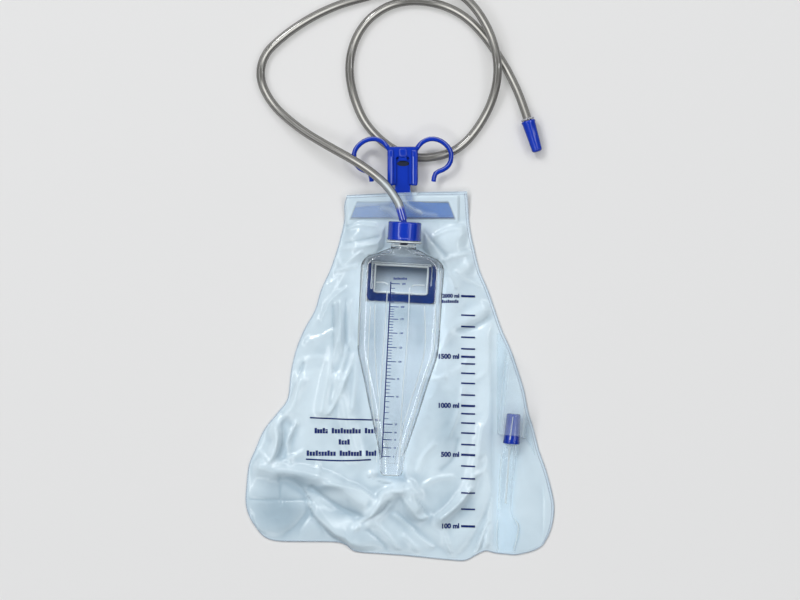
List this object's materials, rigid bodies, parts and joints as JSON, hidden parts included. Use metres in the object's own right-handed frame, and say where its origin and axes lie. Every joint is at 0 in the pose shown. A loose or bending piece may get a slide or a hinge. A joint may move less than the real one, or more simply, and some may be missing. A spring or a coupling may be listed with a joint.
{
  "type": "urine drainage bag",
  "caption": "Clear film drainage bag lying flat, with a hard clear measuring chamber on its front, a hook hanger, a screw-capped inlet with a long free tube and a parked drain sleeve.",
  "frame": {"origin": "centre of the box round the bag, its chamber and its hanger, on the table under it", "axes": "+Y up the bag to its hooks, +Z out of the printed front, +X to the side with the drain"},
  "size_m": [0.27, 0.5079, 0.036],
  "materials": {
    "film": "soft translucent film",
    "clear_plastic": "clear, polished",
    "tube": "soft clear tube",
    "blue_plastic": "satin moulded",
    "seal": "matte"
  },
  "bodies": {
    "bag": {"back_film": "film", "front_film": "film", "drain_pocket": "film", "drain_sleeve": "film", "measuring_chamber": "clear_plastic", "catheter_connector": "clear_plastic", "inlet_tube": "tube", "port_clamp_frame": "blue_plastic", "inlet_connector": "blue_plastic", "hanger_bar": "blue_plastic", "hook_yoke": "blue_plastic", "cap_gasket": "seal", "nonreturn_valve": "seal"},
    "chamber_cap": {"screw_cap": "blue_plastic"},
    "tube_cap": {"connector_cap": "blue_plastic"},
    "plug": {"drain_plug": "blue_plastic"}
  },
  "joints": [
    {"name": "cap_turn", "type": "hinge", "parent": "bag", "child": "chamber_cap", "pos_m": [0.00389, 0.10173, 0.02095], "axis": [0.0549, 0.9982, 0.0227], "range_deg": [0, 450]},
    {"name": "tube_cap_pull", "type": "slide", "parent": "bag", "child": "tube_cap", "axis": [0.2924, -0.9563, 0], "range_m": [0, 0.03]},
    {"name": "plug_pull", "type": "slide", "parent": "bag", "child": "plug", "axis": [0.0837, 0.9965, 0], "range_m": [0, 0.016]}
  ]
}
